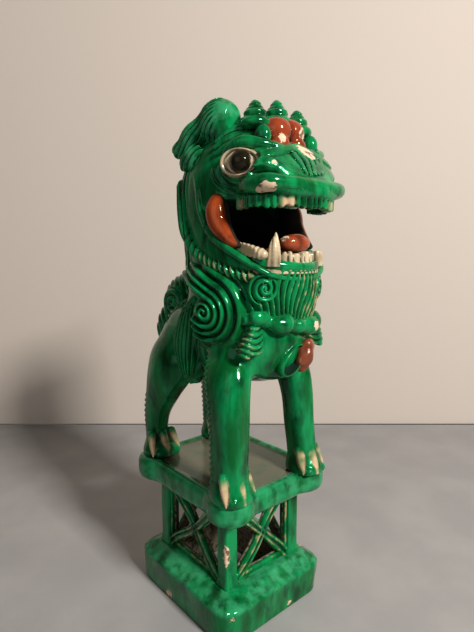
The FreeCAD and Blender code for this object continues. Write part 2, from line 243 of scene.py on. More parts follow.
def without_crumbs(verts, quads):
    """The mesh without loose crumbs."""
    label = np.arange(len(verts))
    a, b = quads.ravel(), np.roll(quads, -1, 1).ravel()
    while True:
        low = np.minimum(label[a], label[b])
        fresh = label.copy()
        np.minimum.at(fresh, a, low)
        np.minimum.at(fresh, b, low)
        fresh = fresh[fresh]
        if np.array_equal(fresh, label):
            break
        label = fresh
    sizes = np.bincount(label)
    keep = sizes[label] > CRUMB * sizes.max()
    renumber = np.cumsum(keep) - 1
    return verts[keep], renumber[quads[keep[quads[:, 0]]]]


def neighbour_mean(values, a, b, count):
    """The mean of each vertex's neighbours' values."""
    total = [np.bincount(a, weights=column[b], minlength=count) for column in values.T]
    return np.stack(total, 1) / np.maximum(np.bincount(a, minlength=count), 1)[:, None]


def hollows(verts, quads, voxel):
    """How far each vertex lies under (+) or over (-) its surroundings, in mm.

    The first result tells of narrow grooves, the second of broad valleys.
    """
    a, b = quads.ravel(), np.roll(quads, -1, 1).ravel()
    count = len(verts)
    smooth = verts
    for _ in range(max(3, round((GROOVE / voxel) ** 2))):
        smooth = 0.5 * smooth + 0.5 * neighbour_mean(smooth, a, b, count)
    broad = smooth
    for _ in range(round((VALLEY / voxel) ** 2)):
        broad = neighbour_mean(broad, a, b, count)
    diagonal_a = verts[quads[:, 2]] - verts[quads[:, 0]]
    diagonal_b = verts[quads[:, 3]] - verts[quads[:, 1]]
    faces = np.cross(diagonal_a, diagonal_b)
    normal = np.stack([np.bincount(quads.ravel(), weights=np.repeat(faces[:, k], 4),
                                   minlength=count) for k in range(3)], 1)
    normal /= np.linalg.norm(normal, axis=1)[:, None] + 1e-9
    depth = np.stack([((level - verts) * normal).sum(1) for level in (smooth, broad)], 1)
    return neighbour_mean(depth, a, b, count).T


def to_mesh(name, verts, quads, marks):
    """A Blender mesh in metres, with one float attribute per mark."""
    mesh = bpy.data.meshes.new(name)
    mesh.vertices.add(len(verts))
    world = (verts + (0, PLINTH_Y, 0)) * MM
    mesh.vertices.foreach_set("co", world.astype(np.float32).ravel())
    mesh.loops.add(quads.size)
    mesh.loops.foreach_set("vertex_index", quads.ravel().astype(np.int32))
    mesh.polygons.add(len(quads))
    mesh.polygons.foreach_set("loop_start", np.arange(0, quads.size, 4, dtype=np.int32))
    mesh.update(calc_edges=True)
    mesh.shade_smooth()
    for mark, values in marks.items():
        layer = mesh.attributes.new(mark, "FLOAT", "POINT")
        layer.data.foreach_set("value", values.astype(np.float32))
    return mesh


def piece(name, field, finish=None, margin=2.0, voxel=None, paint=None, pair=False):
    """Sculpts a piece from field(p), stands it in for its CAD node, and mirrors a pair.

    A finish is a material and a slot name, GREEN unless given; the slot name is not used. Paint gives
    each mark a share from
    0 to 1, either a number or a rule of p.
    """
    voxel = voxel or VOXEL
    material, slot = finish or GREEN
    right = name + "_right" if pair else name
    p = grid_round(right, margin, voxel)
    verts, quads = without_crumbs(*skin(field(p), p, voxel))
    a, b, c, d = (verts[quads[:, k]] for k in range(4))
    if (np.cross(c - a, d - b) * (a + c)).sum() < 0:
        quads = quads[:, ::-1]
    q = tuple(verts[:, k].astype(np.float32) for k in range(3))
    marks = dict(zip(("hollow", "valley"), hollows(verts, quads, voxel)))
    for mark, rule in (paint or {}).items():
        share = rule(q) if callable(rule) else rule
        marks[mark] = np.clip(np.broadcast_to(share, len(verts)), 0, 1)
    sides = {right: 1}
    if pair:
        sides[name + "_left"] = -1
    for side, sign in sides.items():
        flipped = quads if sign > 0 else quads[:, ::-1]
        mesh = to_mesh(side, verts * (sign, 1, 1), flipped, marks)
        obj = bpy.data.objects.new(side, mesh)
        bpy.context.scene.collection.objects.link(obj)
        mesh.materials.append(material)
        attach(obj, "root")
        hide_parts(side)


def on(own, other, k):
    """The field of one form luted onto another."""
    return lambda p: luted(own(p), other(p), k)


def soft_step(value, low, high):
    """0 below low, 1 above high, smooth between."""
    t = np.clip((value - low) / (high - low), 0, 1)
    return t * t * (3 - 2 * t)


# ---- materials ----
class Recipe:
    """A node material under construction."""

    def __init__(self, name):
        self.material = bpy.data.materials.new(name)
        self.material.use_nodes = True
        self.tree = self.material.node_tree
        self.shader = self.tree.nodes["Principled BSDF"]
        self.place = self.tree.nodes.new("ShaderNodeTexCoord").outputs["Object"]

    def put(self, socket, value):
        if isinstance(value, bpy.types.NodeSocket):
            self.tree.links.new(value, socket)
        else:
            socket.default_value = value

    def noise(self, size_mm, detail=3.0, run=1.0):
        """Noise from 0 to 1 with features about size_mm across, and run times as tall."""
        node = self.tree.nodes.new("ShaderNodeTexNoise")
        node.inputs["Scale"].default_value = 1 / (size_mm * MM)
        node.inputs["Detail"].default_value = detail
        drawn = self.tree.nodes.new("ShaderNodeVectorMath")
        drawn.operation = "MULTIPLY"
        drawn.inputs[1].default_value = (1, 1, 1 / run)
        self.tree.links.new(self.place, drawn.inputs[0])
        self.tree.links.new(drawn.outputs["Vector"], node.inputs["Vector"])
        return node.outputs["Fac"]

    def mark(self, name):
        node = self.tree.nodes.new("ShaderNodeAttribute")
        node.attribute_name = name
        return node.outputs["Fac"]

    def ramp(self, value, low, high, to_low=0.0, to_high=1.0):
        node = self.tree.nodes.new("ShaderNodeMapRange")
        node.interpolation_type = "SMOOTHSTEP"
        for name, v in zip(("Value", "From Min", "From Max", "To Min", "To Max"),
                           (value, low, high, to_low, to_high)):
            self.put(node.inputs[name], v)
        return node.outputs["Result"]

    def math(self, kind, a, b):
        node = self.tree.nodes.new("ShaderNodeMath")
        node.operation = kind
        self.put(node.inputs[0], a)
        self.put(node.inputs[1], b)
        return node.outputs[0]

    def mix(self, share, a, b):
        node = self.tree.nodes.new("ShaderNodeMix")
        node.data_type = "RGBA"
        self.put(node.inputs["Factor"], share)
        for socket, value in zip(node.inputs[6:8], (a, b)):
            self.put(socket, value if isinstance(value, bpy.types.NodeSocket) else (*value, 1))
        return node.outputs[2]

    def bump(self, height, distance_mm, strength):
        node = self.tree.nodes.new("ShaderNodeBump")
        node.inputs["Strength"].default_value = strength
        node.inputs["Distance"].default_value = distance_mm * MM
        self.tree.links.new(height, node.inputs["Height"])
        self.tree.links.new(node.outputs["Normal"], self.shader.inputs["Normal"])


BUFF = (0.50, 0.36, 0.20)
CLAY = (0.60, 0.44, 0.31)
DARK_CLAY = (0.14, 0.075, 0.045)
# milky green for the pale mark: milky glaze patches and painted light
MILKY_AND_PAINTED_LIGHT = (0.035, 0.29, 0.125)
DUSTY = (0.105, 0.088, 0.062), (0.016, 0.075, 0.036)
STRAW = (0.40, 0.25, 0.14), (0.60, 0.43, 0.28)
# STRAW_GROOVE darkens the straw glaze's grooves: pooled glaze and painted shade
STRAW_GROOVE = (0.05, 0.035, 0.015)
# GLOOM is near black: painted shade for the deep mark
GLOOM = (0.001, 0.0015, 0.001)


def glaze(name, body, bright, deep, thin, wear=0.12, roughness=0.10, sheen=(0.3, 1.0, 0.6)):
    """Lead glaze: pooled and dark in hollows, thin on ridges, chipped to bare clay. The darkening of
    grooves and valleys is also painted shade, and the lift on broad bulges is painted light.
    """
    r = Recipe(name)
    hollow = r.mark("hollow")
    valley = r.mark("valley")
    colour = r.mix(r.ramp(r.noise(9, 5, 4.0), 0.36, 0.66), body, bright)
    # painted light: broad bulges are lifted towards the bright colour
    colour = r.mix(r.ramp(valley, -0.9, -0.1, 0.6, 0), colour, bright)
    colour = r.mix(r.ramp(r.noise(8.0, 5, 2.0), 0.46, 0.72, 0, 0.75), colour, deep)
    # pooled glaze and painted shade: broad valleys are darkened towards the deep colour
    colour = r.mix(r.ramp(valley, 0.05, 0.75, 0, 0.9), colour, deep)
    # milky glaze patches and painted light: the pale mark lifts the colour towards milky green
    milky_and_painted_light = r.math("MULTIPLY", r.mark("milky_and_painted_light"), r.ramp(r.noise(7, 5), 0.36, 0.66))
    colour = r.mix(milky_and_painted_light, colour, MILKY_AND_PAINTED_LIGHT)
    # pooled glaze and painted shade: narrow grooves are darkened nearly to the deep colour
    colour = r.mix(r.ramp(hollow, 0.01, 0.14, 0, 0.98), colour, deep)
    worn = r.math("ADD", r.math("MULTIPLY", hollow, -1.0), r.math("MULTIPLY", r.noise(5, 6), 0.5))
    worn = r.math("ADD", worn, r.math("MULTIPLY", r.mark("worn"), 0.24))
    worn = r.ramp(worn, 0.62 - wear, 0.76 - wear, 0, 0.85)
    colour = r.mix(worn, colour, thin)
    stain = r.mix(r.ramp(r.noise(12, 5), 0.35, 1.1), *DUSTY)
    colour = r.mix(r.mark("stain"), colour, stain)
    straw = r.mix(r.noise(2.5), *STRAW)
    # pooled glaze and painted shade: grooves in the straw glaze are darkened
    straw = r.mix(r.ramp(hollow, 0.0, 0.2, 0, 0.85), straw, STRAW_GROOVE)
    colour = r.mix(r.mark("cream"), colour, straw)
    edge = r.math("MULTIPLY", r.math("SUBTRACT", r.noise(2.2, 6), 0.5), 1.7)
    bare = r.ramp(r.math("ADD", r.mark("bare"), edge), 0.45, 0.55)
    bare = r.math("MULTIPLY", bare, r.ramp(r.mark("bare"), 0.02, 0.2))
    clay = r.mix(r.ramp(r.noise(2.6, 4), 0.5, 0.62), CLAY, DARK_CLAY)
    colour = r.mix(bare, colour, clay)
    # painted shade: where the deep mark is set, the colour goes to near black
    painted_shade_mark = r.mark("deep")
    colour = r.mix(painted_shade_mark, colour, GLOOM)
    r.put(r.shader.inputs["Base Color"], colour)
    gloss = r.ramp(r.noise(8), 0.3, 0.8, roughness, roughness + 0.12)
    matt = r.math("ADD", r.math("MULTIPLY", bare, 0.6), r.math("MULTIPLY", painted_shade_mark, 0.75))
    r.put(r.shader.inputs["Roughness"], r.math("ADD", gloss, matt))
    r.shader.inputs["IOR"].default_value = 1.5
    r.shader.inputs["Specular Tint"].default_value = (*sheen, 1)
    r.bump(r.math("ADD", r.noise(2.4, 3), r.math("MULTIPLY", bare, -0.8)), 0.3, 0.35)
    return r.material


EMERALD = glaze("emerald_glaze", (0.001, 0.074, 0.014), (0.003, 0.190, 0.056),
                (0.0006, 0.007, 0.0035), (0.36, 0.26, 0.13))
# Each finish is a material and a slot name, which nothing here reads.
GREEN = EMERALD, "green_glaze"
PLINTH = EMERALD, "plinth_glaze"
AMBER = glaze("amber_glaze", (0.20, 0.026, 0.005), (0.28, 0.045, 0.009), (0.04, 0.008, 0.003),
              BUFF, 0.0, 0.08, (1.0, 0.75, 0.55)), "amber_glaze"
LIVER = glaze("liver_glaze", (0.19, 0.028, 0.010), (0.27, 0.048, 0.018), (0.020, 0.010, 0.004),
              BUFF, 0.05, 0.08, (1.0, 0.7, 0.5)), "amber_glaze"
CREAM = glaze("cream_glaze", (0.34, 0.245, 0.135), (0.52, 0.42, 0.28), (0.030, 0.028, 0.010),
              BUFF, 0.1, 0.12, (1.0, 1.0, 0.9)), "cream_glaze"
BLACK = glaze("black_glaze", (0.004, 0.004, 0.002), (0.010, 0.008, 0.004), (0.002, 0.002, 0.002),
              BUFF, -0.5, 0.06, (0.3, 0.35, 0.3)), "black_glaze"
BROWN = glaze("brown_slip", (0.11, 0.024, 0.010), (0.22, 0.060, 0.028), (0.015, 0.006, 0.004),
              BUFF, 0.25, 0.22, (0.8, 0.6, 0.5)), "brown_clay"


# ---- the pedestal ----
FOOT_RIDGE_Z, FOOT_TOP_Z = 20.0, 25.3
CORE = (62.0, 70.0)                  # outside of the posts
POST = 8.5
SLAB_BOTTOM = slab_low[2] / MM


def block(u, w, a, b, radius):
    """A rounded rectangle, half sizes a and b."""
    x, y = np.abs(u) - a + radius, np.abs(w) - b + radius
    return np.hypot(np.maximum(x, 0), np.maximum(y, 0)) + np.minimum(np.maximum(x, y), 0) - radius


def chip(p, centre, radius):
    """How much a spot is chipped, 1 in its middle."""
    gap = np.sqrt(sum((axis - c) ** 2 for axis, c in zip(p, centre)))
    return soft_step(radius - gap, -1.5, 1.5)


def chips(*spots):
    """A rule for chipped spots, each a centre and a radius."""
    return lambda p: np.clip(sum(chip(p, *spot) for spot in spots), 0, 1)


def half_sizes(node):
    """Half the width and half the depth of a CAD node."""
    low, high = box_mm(node)
    return (high[0] - low[0]) / 2, (high[1] - low[1]) / 2


def well(x, y, wider=0.0):
    """Distance to the plan of the pedestal's hollow middle."""
    return block(x, y, CORE[0] / 2 - POST + wider, CORE[1] / 2 - POST + wider, 5)


def foot(p):
    """The cushion foot: an upright band, then a slope up to the posts."""
    a, b = half_sizes("plinth_base")
    x, y, z = p
    pull = np.clip(1 - z / FOOT_RIDGE_Z, 0, 1) ** 2
    band = block(x, y, a - pull, b - pull, 12)
    run, evened = 9.5, 0.49          # how far the slope goes in, and what makes it a distance
    slope = (band + (z - FOOT_RIDGE_Z) * run / (FOOT_TOP_Z - FOOT_RIDGE_Z)) * evened
    d = smax(band, slope, 1.6)
    d = smax(d, z - FOOT_TOP_Z, 1.0)
    d = smax(d, -z, 1.5)
    mitre = np.exp(-((np.abs(x) - a - np.abs(y) + b) / 1.6) ** 2)
    mitre = mitre * soft_step(-z, -FOOT_TOP_Z, 2 - FOOT_TOP_Z)
    d = d - 0.5 * mitre * (z > 10) + 0.6 * uneven(p, 11, 1.0) * np.clip(z / 4, 0, 1)
    return smax(d, -well(x, y, 1), 1.5)


def post_field(side_x, side_y):
    cx, cy = side_x * (CORE[0] - POST) / 2, side_y * (CORE[1] - POST) / 2
    half = POST / 2 + 0.3

    def field(p):
        x, y, z = p
        flare = soft_step(z, SLAB_BOTTOM - 6, SLAB_BOTTOM)
        flare = 0.9 * (flare + soft_step(-z, -FOOT_TOP_Z - 6, -FOOT_TOP_Z))
        bar = block(x - cx, y - cy, half, half, 1.6) - flare + 0.25 * uneven(p, 9, 2.0)
        return smax(bar, np.maximum(z - SLAB_BOTTOM - 0.6, FOOT_TOP_Z - 0.6 - z), 0.4)
    return field


def panel_field(along, across, face, width, seed):
    """A pierced panel: along and across pick the axes, face is its outer plane."""
    sill, stile, half_bar, depth = 3.4, 1.4, 3.2, 5.0

    def field(p):
        u, z = p[along], p[2]
        out = np.sign(face) * (p[across] - face)
        mid = (FOOT_TOP_Z + SLAB_BOTTOM) / 2
        a, h = width / 2, (SLAB_BOTTOM - FOOT_TOP_Z) / 2
        w = z - mid
        bend = 0.9 * np.sin(w / 7 + seed) + 0.5 * np.sin(u / 6 + seed)
        bars = np.minimum(a - stile - np.abs(u), h - sill - np.abs(w))
        length = math.hypot(a, h)
        rib = 0
        for sign in (1, -1):
            off = np.abs((u * h - sign * w * a) / length + bend)
            bars = np.minimum(bars, off - half_bar)
            rib = np.maximum(rib, soft_step(1.0 - np.abs(off - 1.7), -0.5, 0.9))
        d = smax(bars, out - 0.9 * rib + 0.4, 1.2)
        d = smax(d, -out - depth, 1.0)
        ends = np.maximum(np.abs(w) - h - 0.5, np.abs(u) - a - 0.5)
        return np.maximum(d + 0.15 * uneven(p, 6, seed), ends)
    return field


def slab(p):
    """The top slab: a lobe at each corner and a shallow dish between them."""
    a, b = half_sizes("plinth_top")
    x, y, z = p
    lobe = 13.0
    waist = 3.2 - np.cos(np.abs(x) / a * 2.2)
    plan = block(x, y, a - waist, b - 3.6, 8)
    corners = np.hypot(np.abs(x) - a + lobe, np.abs(y) - b + lobe) - lobe
    plan = smin(plan, corners, 4)
    mid, half = (SLAB_Z + SLAB_BOTTOM) / 2, (SLAB_Z - SLAB_BOTTOM) / 2
    rim = np.abs(z - mid) - half
    d = smax(plan, rim, 6.0) - 0.9
    dish = 1.9 * soft_step(-plan, 3.0, 8.0) * (z > mid)
    d = smax(d, z - SLAB_Z + dish, 1.2)
    pocket = smax(well(x, y), z - SLAB_Z + 7, 2)
    return smax(d + 0.3 * uneven(p, 12, 3.0), -pocket, 1.0)


def inner_clay(p):
    """Bare clay on the faces that look into the pedestal."""
    deep_x = CORE[0] / 2 - 4.0 - np.abs(p[0])
    deep_y = CORE[1] / 2 - 4.0 - np.abs(p[1])
    return soft_step(np.minimum(deep_x, deep_y), -1.0, 1.5) * (p[2] < SLAB_Z - 4)


def gloom(p):
    """Painted shade inside the pedestal: its inner faces are painted near black."""
    return 0.8 * inner_clay(p)


def dish(p):
    """The dull middle of the slab's top."""
    shape = block(p[0], p[1], slab_high[0] / MM - 9, slab_high[1] / MM - PLINTH_Y - 9, 12)
    return soft_step(-shape, -1.5, 2.5) * (p[2] > SLAB_Z - 4)


def drip(p):
    """Where the glaze ran off the front corner."""
    line = [(-31, -57, SLAB_Z - 1), (-33.5, -57.5, SLAB_Z - 6), (-35.5, -57, SLAB_Z - 9)]
    return soft_step(-strand(p, line, [2.4, 1.6, 2.2])[0], -0.8, 0.6)


def post_chip(p):
    """The tall chip on the post nearest the camera."""
    spot = (-CORE[0] / 2, -CORE[1] / 2, 47)
    return chip((p[0], p[1], spot[2] + (p[2] - spot[2]) * 0.4), spot, 2.6)


def build_pedestal():
    foot_chips = chips(((-35, -44, 17), 3.2), ((38, -30, 21), 2.6), ((10, -49, 4), 2.4),
                       ((-42, 10, 3), 3.0))
    piece("plinth_base", foot, PLINTH, paint={
        "bare": lambda p: np.maximum(inner_clay(p), foot_chips(p)),
        "worn": lambda p: 0.55 * np.exp(-((p[2] - FOOT_RIDGE_Z) / 1.8) ** 2),
        # painted shade inside the pedestal
        "deep": gloom,
        # milky glaze and painted light: the foot is paler above its ridge
        "milky_and_painted_light": lambda p: 0.75 * soft_step(p[2], FOOT_RIDGE_Z - 4, FOOT_RIDGE_Z + 1),
    })
    for end, sy in (("front", -1), ("rear", 1)):
        for side, sx in (("right", -1), ("left", 1)):
            paint = {"bare": post_chip} if (sx, sy) == (-1, -1) else None
            piece(f"post_{end}_{side}", post_field(sx, sy), PLINTH, paint=paint)
    inset = 1.2
    for name, along, across, sign in (("front", 0, 1, -1), ("rear", 0, 1, 1),
                                      ("right", 1, 0, -1), ("left", 1, 0, 1)):
        face_at = sign * (CORE[across] / 2 - inset)
        field = panel_field(along, across, face_at, CORE[along] - 2 * POST, 1 + along + sign)
        # painted shade on the lattice's inner faces
        piece("lattice_" + name, field, PLINTH, margin=1.5,
              paint={"bare": inner_clay, "deep": gloom, "worn": 0.6})
    piece("plinth_top", slab, PLINTH, paint={
        "bare": lambda p: np.maximum(inner_clay(p), drip(p)),
        "stain": dish,
        "worn": lambda p: 0.5 * np.exp(-((p[2] - SLAB_Z + 1) / 1.6) ** 2),
        # milky glaze and painted light over the slab
        "milky_and_painted_light": 0.5,
        # painted shade inside the pedestal
        "deep": gloom,
    })


# ---- body forms ----
TRUNK = [  # y, z, half width, half height
    (-57, 174, 3, 3), (-54, 174, 13, 12), (-49, 175, 23, 22), (-41, 177, 29, 27.5),
    (-22, 177, 32, 31), (0, 173, 30.5, 32), (20, 169, 28, 29.5), (36, 167, 25, 25.5),
    (47, 167, 18, 18), (53, 167, 8, 8), (55, 167, 3, 3),
]
NECK = [  # x, y, z, half width, half depth
    (0, -14, 172, 27, 35), (0, -15, 194, 29.5, 38), (0, -16, 208, 30, 38), (0, -17, 216, 30, 38),
]
HEAD = [
    (0, -16, 206, 30, 38), (0, -21, 215, 32, 43.5), (0, -20, 224, 33.5, 42), (0, -13, 240, 34, 34),
    (0, -11.5, 255, 34, 34.5), (0, -13, 270, 32, 35), (0, -17, 284, 27.5, 31),
    (0, -20, 292, 20, 23), (0, -21, 297, 10, 11), (0, -21, 299, 3, 3),
]
FRONT_LEG = [  # x outwards and y from the foot's middle, z, half width, half depth
    (0, 0, SLAB_Z - 1, 10.4, 10.8), (0, 1, 100, 9.2, 10.4), (-0.3, 1.5, 120, 9.2, 10.6),
    (-1, 3, 140, 10.2, 11.4), (-4, 7, 157, 10.4, 13.4), (-10, 12, 172, 8.5, 12),
]
REAR_LEG = [
    (0, -1, SLAB_Z - 1, 9, 10), (0, 3.5, 98, 7.6, 8), (0, 3, 112, 8, 9), (-1, -3, 128, 10, 14),
    (-3, -10, 145, 12.5, 20), (-5, -12, 160, 12, 19), (-10, -12, 174, 8, 13),
]
LEAN = 3.6                           # how far the left foreleg leans in
FEET = {                             # where each leg stands, and its girth
    "front_right": (-31.8, -40.6, 1.0), "front_left": (27.6, -42.0, 0.86),
    "rear_right": (-27.0, 41.5, 1.0), "rear_left": (23.0, 41.5, 1.0),
}


def trunk(p):
    d = loft_y(p, TRUNK, 2.15)
    spine = np.exp(-(p[0] / 3.5) ** 2) * 1.4 * soft_step(p[1], 14, 26) * (p[2] > 170)
    return d - spine + 0.5 * uneven(p, 16, 4.0)


def neck_form(p):
    return loft_z(p, NECK, 2.3) + 0.4 * uneven(p, 14, 5.0)


def head_form(p):
    return loft_z(p, HEAD, 2.25) + 0.3 * uneven(p, 14, 6.0)


def body(p):
    """Trunk and neck as one form, for whatever lies on them."""
    return smin(trunk(p), neck_form(p), 8)


def leg_form(foot):
    x0, y0, girth = FEET[foot]
    out = math.copysign(1, x0)
    front = "front" in foot
    stations = [(x0 + out * dx, y0 + dy, z, a * girth, b * girth)
                for dx, dy, z, a, b in (FRONT_LEG if front else REAR_LEG)]
    if foot == "front_left":
        stations = [(x - LEAN * soft_step(z, SLAB_Z, 125), y, z, a, b)
                    for x, y, z, a, b in stations]
    zs = [s[2] for s in stations]

    def form(p):
        x, y, z = p
        d = loft_z(p, stations, 2.7 if front else 2.2, 3.0)
        back = y - through(z, zs, [s[1] + 0.55 * s[4] for s in stations])
        outer = out * (x - through(z, zs, [s[0] for s in stations]))
        fringe = ridges(2 * np.pi * (z + 0.5 * y) / 3.6)
        if front:
            where = soft_step(back, -2, 2.5) * soft_step(outer, 0, 3) * soft_step(168 - z, 0, 6)
            d = d - (0.9 + 0.5 * fringe) * where
            shin = np.exp(-((outer - 2.5) / 3.0) ** 2) * soft_step(-back, 6, 12)
            d = d - 0.9 * shin * soft_step(165 - z, 0, 15)
        else:
            where = soft_step(back, 0, 3) * soft_step(132 - z, 0, 8) * soft_step(z - 92, 0, 4)
            d = d - (0.4 + 0.5 * fringe) * where
        return d + 0.3 * uneven(p, 10, x0)
    return form


def claw_lines(foot):
    """The claws as (root, tip) pairs."""
    x0, y0, girth = FEET[foot]
    lines = []
    for toe in (-1.2, -0.15, 0.95):
        root = (x0 + 7.0 * girth * toe, y0 - 5.6 + 2.0 * toe * toe, SLAB_Z + 13.5)
        tip = (x0 + 9.6 * girth * toe, y0 - 12.8 + 2.6 * toe * toe, SLAB_Z + 0.6)
        lines.append((root, tip))
    return lines


def claws(p, foot):
    d = FAR
    for root, tip in claw_lines(foot):
        middle = tuple((a + b) / 2 for a, b in zip(root, tip))
        d = np.minimum(d, strand(p, [root, middle, tip], [2.8, 2.2, 0.5], 4)[0])
    return d


def paw_form(foot):
    x0, y0, girth = FEET[foot]

    def form(p):
        d = egg(p, (x0, y0 - 1.0, SLAB_Z + 1), (12.4 * girth, 12.2, 10))
        for toe in (-1, 0, 1):
            pool = (x0 + 6.6 * girth * toe, y0 - 9.5 + abs(toe), SLAB_Z + 1.5)
            d = smin(d, egg(p, pool, (3.2, 4.2, 3.2)), 0.8)
        return np.maximum(d, SLAB_Z - 0.6 - p[2])
    return form


def build_legs():
    for foot in FEET:
        leg, paw = leg_form(foot), paw_form(foot)

        def paw_field(p):
            d = smin(luted(paw(p), leg(p), 4.0), luted(claws(p, foot), leg(p), 1.5), 0.3)
            return np.maximum(d, SLAB_Z - 0.8 - p[2])

        def claw_cream(p):
            share = soft_step(0.6 - claws(p, foot), -0.3, 0.4) * soft_step(SLAB_Z + 15 - p[2], 0, 5)
            return share * (0.75 + 0.6 * uneven(p, 2.2, 5.0))

        piece("leg_" + foot, on(leg, trunk, 6.0), margin=(4, 4, 6))
        piece("paw_" + foot, paw_field, margin=(2, 3, 8), voxel=VOXEL * 0.85,
              paint={"cream": claw_cream})


SCROLL = (-39.4, -24.9, 190.8)       # the middle of the shoulder's curl
OPEN_X, OPEN_Y = 0.34, -0.94         # level, along the face of the curl, to the front
RINGS = [6.1, 10.3, 14.2, 19.0, 25.6]  # radii of the grooves
FLANK_EDGES = [  # z, and the y of the flank hair's back and front edges
    (146, 4, -2), (155, 11, -6), (166, 16.5, -9), (180, 12, -12), (190, 2, -14), (200, -14, -19),
]


def whorl(p):
    """The shoulder's rings: a curl whose outer rings run off to the nape."""
    u = OPEN_X * (p[0] - SCROLL[0]) + OPEN_Y * (p[1] - SCROLL[1])
    w = p[2] - SCROLL[2]
    r = np.hypot(u, w)
    back = np.maximum(0.47 * w - 0.88 * u, 0)
    off = np.maximum(np.hypot(u + 0.88 * back, w - 0.47 * back), RINGS[0])
    curl = (r - RINGS[0]) / 3.7 - np.arctan2(w, u) / (2 * np.pi) * soft_step(RINGS[0] - r, 0, 2.5)
    turns = np.where(r < RINGS[0], curl, through(off, RINGS, range(len(RINGS))))
    return 2 * np.pi * turns + np.pi, np.where(r < RINGS[0], r, off)


def scroll(p):
    dome = egg(p, (-28, -26, 194), (10.5, 24, 24.5), yaw=20)
    dome = smin(dome, egg(p, (-26, -9, 207), (10, 19, 13), pitch=-28, yaw=6), 4)
    phase, radius = whorl(p)
    lines = ridges(phase) * soft_step(radius, 0.4, 1.4) * soft_step(26.5 - radius, 0, 1.5)
    zs, _, front = zip(*FLANK_EDGES)
    behind = p[1] - through(p[2], zs, front) + 0.5 - 2.2 * np.maximum(p[2] - 198, 0)
    return smax(dome - 1.4 * lines * soft_step(-behind, -1, 3), behind, 4.5)


FLANK = [  # x, y, z, half width, half depth
    (-25, 2, 144, 4, 2), (-25, 2.5, 150, 8, 6.5), (-25, 3.2, 158, 9.2, 10.5), (-25, 4, 166, 9.8, 13),
    (-25, 0, 180, 10.5, 13), (-26, -6, 190, 10.8, 9.5), (-27, -15.5, 200, 9.8, 5), (-27, -18, 205, 6, 2),
]


def flank(p):
    """Locks that hang from the shoulder's curl."""
    form = loft_z(p, FLANK, 2.2, 1.5)
    zs, back, front = zip(*FLANK_EDGES)
    rear, fore = through(p[2], zs, back), through(p[2], zs, front)
    share = (p[1] - fore) / (rear - fore)
    return form - 1.1 * ridges(2 * np.pi * share * 8)


def leg_curl(p):
    """The small oval curl behind the top of a front leg."""
    u, w = (-25 - p[1]) / 5.2, (p[2] - 164.6) / 9.0
    r = np.hypot(u, w)
    d = smax((r - 1) * 5.0, -36.8 - p[0] - 2.5, 1.5)
    return np.maximum(d, p[0] + 26) - 0.7 * ridges(2 * np.pi * r * 1.6 - np.arctan2(w, u))


def tail_form(p):
    stem = egg(p, (0, 52.5, 172), (18.5, 14.5, 22), pitch=10)
    d = smin(stem, egg(p, (0, 42, 193.5), (17, 15.5, 16.5), pitch=25), 5)
    u, w = p[1] - 39.5, p[2] - 190.0
    phase, r = coil(u, w, 4.6, -1)
    volute = smax(r - 11, np.abs(p[0]) - 16.5, 2.5)
    d = smin(d, volute, 2)
    spiral = ridges(phase) * soft_step(11 - r, 0, 1.5)
    hair = ridges(2 * np.pi * (p[1] * 0.8 - p[2] * 0.35 + 0.75 * np.abs(p[0])) / 4.2)
    return d - 0.9 * spiral * (np.abs(p[0]) > 8) - 0.55 * hair * soft_step(r, 11, 13)


def flank_field(p):
    locks = luted(luted(flank(p), body(p), 2.5), scroll(p), 1.0)
    return smin(locks, leg_curl(p), 0.6)


def nape_field(p):
    knot = egg(p, (0, 23, 219), (9, 10, 10)) - 0.6 * ridges(coil(p[0], p[2] - 219, 4)[0])
    return luted(knot, smin(body(p), head_form(p), 6), 2)


def build_body():
    piece("torso", trunk, margin=3)
    piece("neck", on(neck_form, trunk, 8), margin=(3, 3, 8))
    piece("shoulder_scroll", on(scroll, body, 3), margin=5, pair=True)
    piece("flank_hair", flank_field, margin=(5, 8, 5), pair=True)
    piece("tail", on(tail_form, trunk, 3), margin=3)
    piece("nape_curl", nape_field, margin=3)


# ---- the head ----
JAW_Y = -22.0
PALATE_Z = 251.0
MOUTH = [  # y, z: the open mouth from the side
    (-110, PALATE_Z), (-26, PALATE_Z + 1), (-21, 250), (-20, 243), (-24, 235), (-33, 229),
    (-43, 225.5), (-56, 221), (-68, 217), (-110, 214),
]
MUZZLE = [  # y, z, half width, half height
    (-73.5, 255, 8, 3), (-69.5, 256.5, 22, 6.5), (-64, 260, 26.8, 11), (-56, 265, 29.3, 16),
    (-44, 266, 30.5, 17), (-26, 265, 28, 15),
]
EYE = (-28.5, -45.0, 269.5)
EYE_LOOKS = (-0.84, -0.54)
RUFF = [(-27, 8, 263), (-30, 3, 247), (-32, -3, 234), (-32, -15, 222), (-30, -34, 215), (-25, -49, 211)]
RIM = [  # the rolled edge of the lower lip, from behind the cheek to the chin
    (-31, -9, 268), (-33, -14, 258), (-33.5, -17, 246), (-33, -25.5, 233.5), (-32, -38, 225.5),
    (-28.5, -49.5, 219), (-23, -56.5, 213.8), (-13, -60, 210.5), (0, -61, 209.5),
]


def folded(p):
    """Both sides laid over the right one."""
    return -np.abs(p[0]), p[1], p[2]


def mouth(p):
    """The open mouth, right through, joined to the throat."""
    gape = outline(p[1], p[2], MOUTH) + 0 * p[0]
    throat = egg(p, (0, -22, 232), (27, 30, 21))
    return smin(gape, throat, 2)


